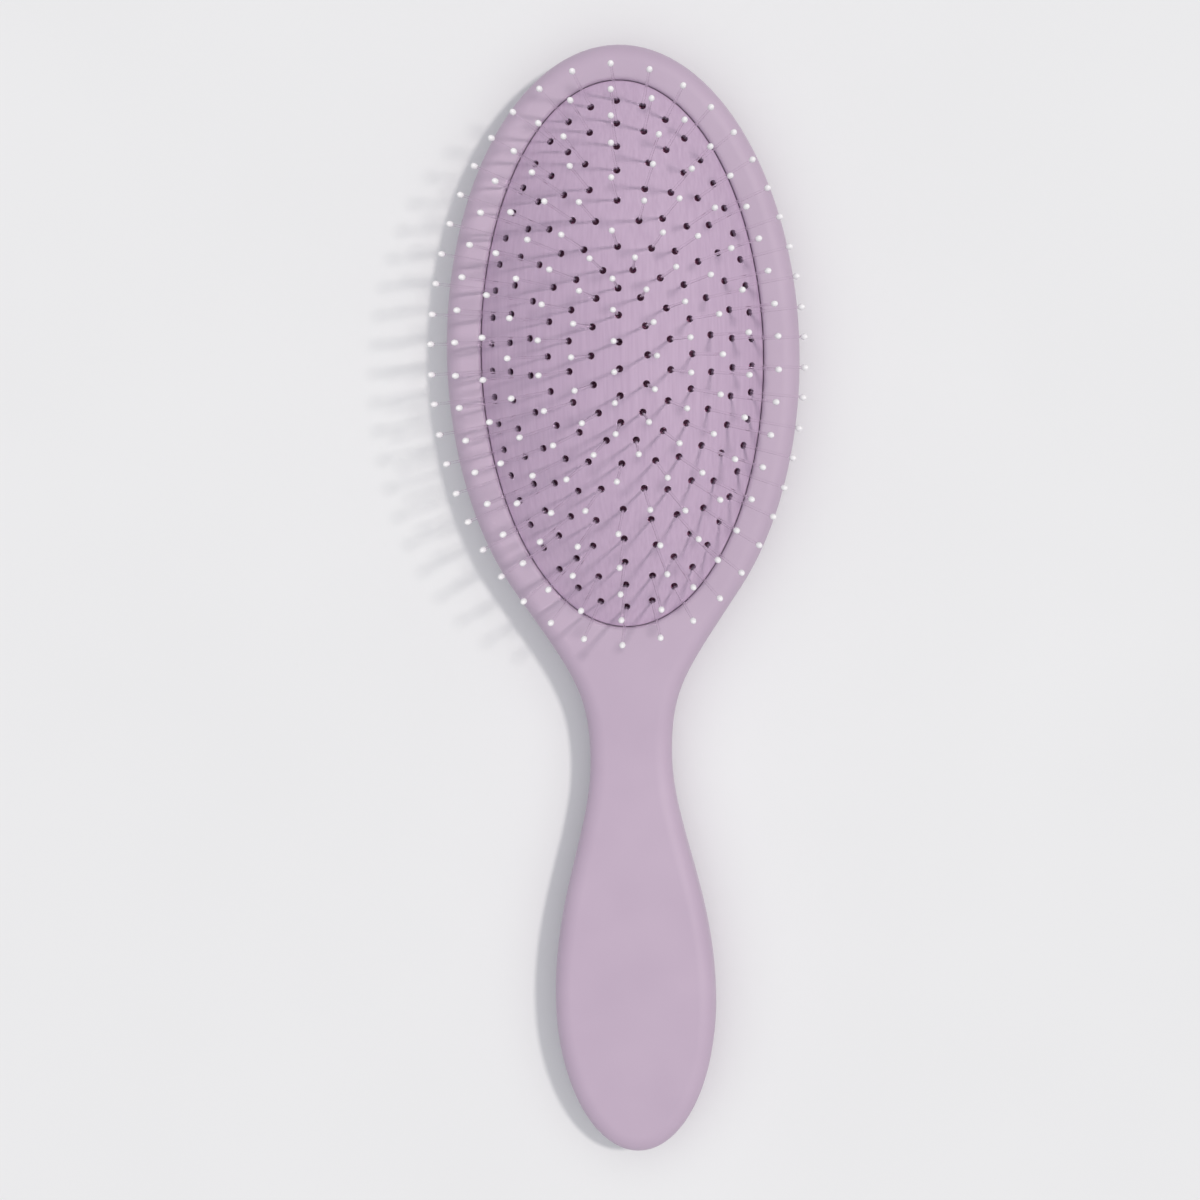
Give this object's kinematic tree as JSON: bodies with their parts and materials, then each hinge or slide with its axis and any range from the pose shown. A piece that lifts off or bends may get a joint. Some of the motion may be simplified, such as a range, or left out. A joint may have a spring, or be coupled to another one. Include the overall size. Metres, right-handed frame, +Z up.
{
  "type": "detangling brush",
  "caption": "Oval cushion hair brush: hollow soft-touch body with a tapered handle, domed rubber cushion that gives, and fanned ball-tipped bristles.",
  "frame": {"origin": "Under the middle of the brush's length and width, on the surface that it lies on, bristles up.", "axes": "+X across the brush, +Y from the handle towards the tip of the head, +Z up out of the bristle side."},
  "size_m": [0.075, 0.225, 0.042],
  "materials": {
    "soft_touch_lilac": "matte soft-touch lacquer",
    "lilac_rubber": "matte rubber",
    "carrier_plastic": "as moulded",
    "clear_nylon": "drawn nylon",
    "white_tip": "satin bead"
  },
  "bodies": {
    "handle": {"front_shell": "soft_touch_lilac", "back_shell": "soft_touch_lilac", "cushion": "lilac_rubber"},
    "bristle_bed": {"carrier_plate": "carrier_plastic", "bristles_ring_1": "clear_nylon", "bristles_ring_2": "clear_nylon", "bristles_ring_3": "clear_nylon", "bristles_ring_4": "clear_nylon", "bristles_ring_5": "clear_nylon", "bristles_ring_6": "clear_nylon", "bristles_centre_row": "clear_nylon", "ball_tips_ring_1": "white_tip", "ball_tips_ring_2": "white_tip", "ball_tips_ring_3": "white_tip", "ball_tips_ring_4": "white_tip", "ball_tips_ring_5": "white_tip", "ball_tips_ring_6": "white_tip", "ball_tips_centre_row": "white_tip"}
  },
  "joints": [
    {"name": "cushion_press", "type": "slide", "parent": "handle", "child": "bristle_bed", "axis": [0, 0, 1], "range_m": [-0.0025, 0], "stiffness_N_per_m": 1800, "deforming": ["cushion"]}
  ]
}
